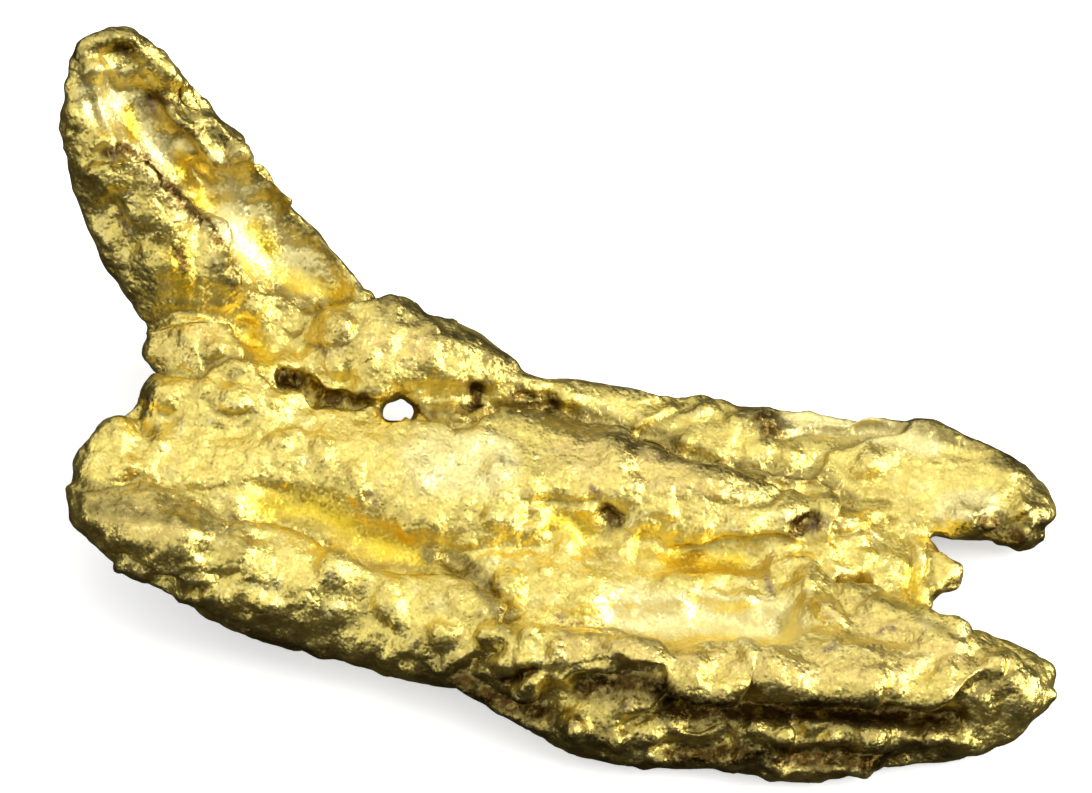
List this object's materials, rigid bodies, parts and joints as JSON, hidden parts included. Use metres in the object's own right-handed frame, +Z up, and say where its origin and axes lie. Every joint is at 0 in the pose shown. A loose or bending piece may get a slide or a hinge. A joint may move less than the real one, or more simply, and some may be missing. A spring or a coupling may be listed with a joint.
{
  "type": "gold nugget",
  "caption": "Natural lump of gold: a long ribbed slab with a forked right end, a small eye through it and a gutter-shaped wing rising from the left back corner.",
  "frame": {"origin": "centre of the bounding box's footprint, at the level of the feet it rests on", "axes": "+X along the slab towards the forked end, +Y towards the back, on the side of the raised wing, +Z up"},
  "size_m": [0.024, 0.0158, 0.0097],
  "materials": {
    "gold": "stream-worn native gold, satin with fine grain"
  },
  "bodies": {
    "root": {"nugget": "gold"}
  },
  "joints": []
}
